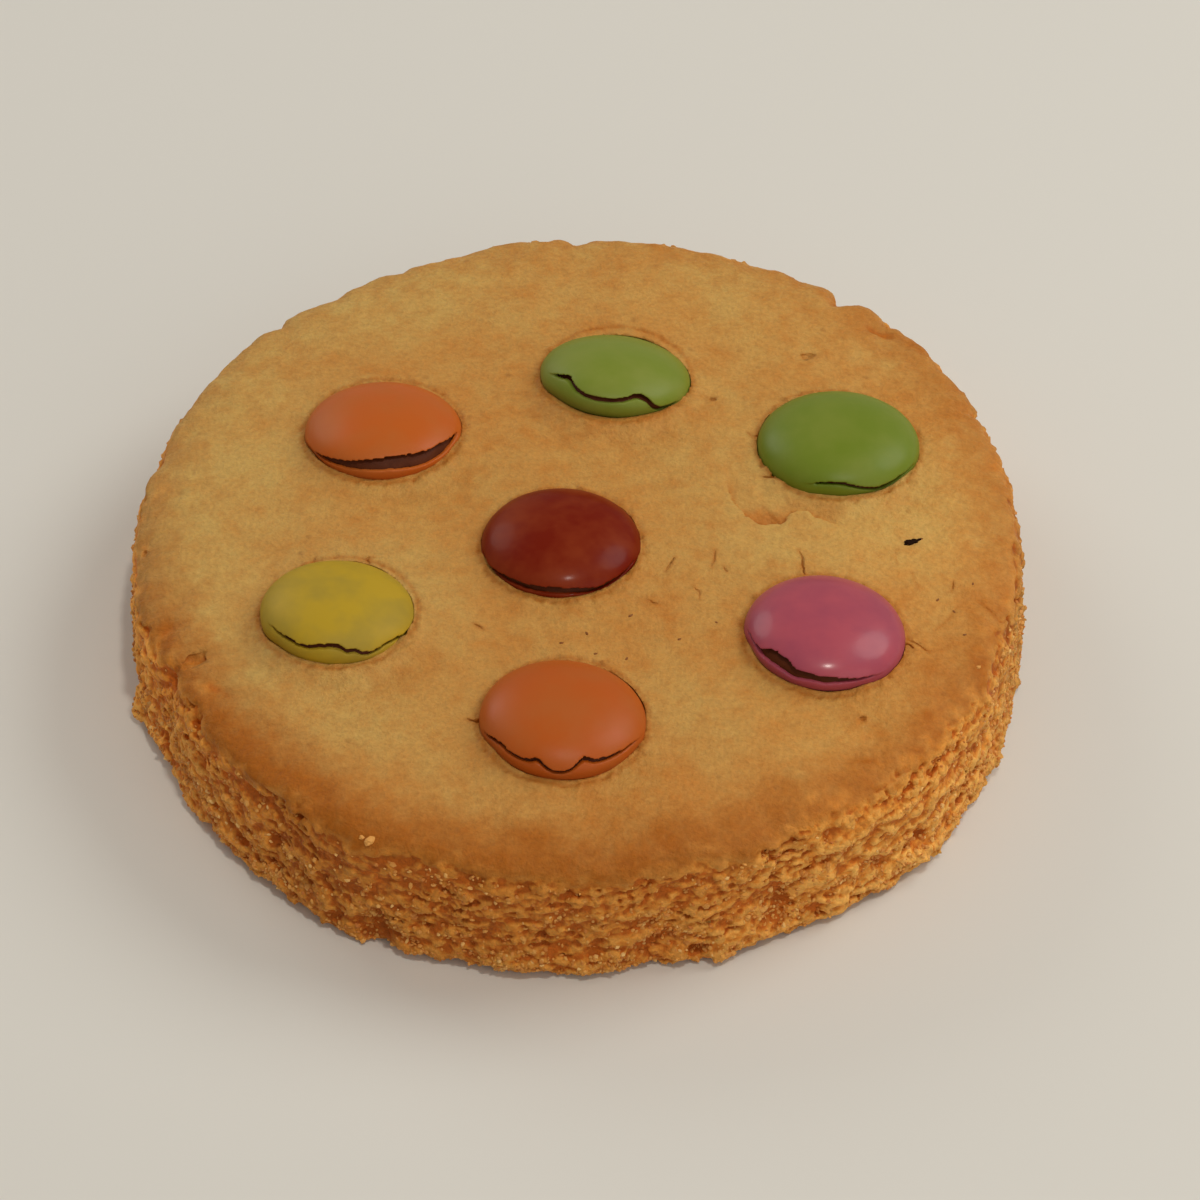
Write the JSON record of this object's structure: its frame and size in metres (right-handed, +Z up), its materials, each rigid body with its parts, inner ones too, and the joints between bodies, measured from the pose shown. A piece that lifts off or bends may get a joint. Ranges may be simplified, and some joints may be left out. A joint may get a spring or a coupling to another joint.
{
  "type": "round biscuit with chocolate lentils",
  "caption": "Round thick shortcrust biscuit with a smooth baked top, a crumbly broken side and sugar shelled chocolate lentils sunk into the top, their shells cracked by baking.",
  "frame": {"origin": "centre of the biscuit's footprint, on the surface it rests on", "axes": "+Z up out of the baked top, -Y towards the side the lentils' shells have cracked on, +X to the right seen from there"},
  "size_m": [0.086, 0.0878, 0.0184],
  "materials": {
    "baked_crust": "matte baked crust, golden and slightly grainy",
    "orange_sugar": "satin sugar shell",
    "green_sugar": "satin sugar shell",
    "red_sugar": "satin sugar shell",
    "yellow_sugar": "satin sugar shell",
    "pink_sugar": "satin sugar shell",
    "dark_chocolate": "dull dark chocolate"
  },
  "bodies": {
    "root": {"biscuit": "baked_crust", "sweet_orange_back_shell": "orange_sugar", "sweet_orange_back_chocolate": "dark_chocolate", "sweet_green_back_shell": "green_sugar", "sweet_green_back_chocolate": "dark_chocolate", "sweet_green_right_shell": "green_sugar", "sweet_green_right_chocolate": "dark_chocolate", "sweet_red_centre_shell": "red_sugar", "sweet_red_centre_chocolate": "dark_chocolate", "sweet_yellow_left_shell": "yellow_sugar", "sweet_yellow_left_chocolate": "dark_chocolate", "sweet_pink_right_shell": "pink_sugar", "sweet_pink_right_chocolate": "dark_chocolate", "sweet_orange_front_shell": "orange_sugar", "sweet_orange_front_chocolate": "dark_chocolate"}
  },
  "joints": []
}
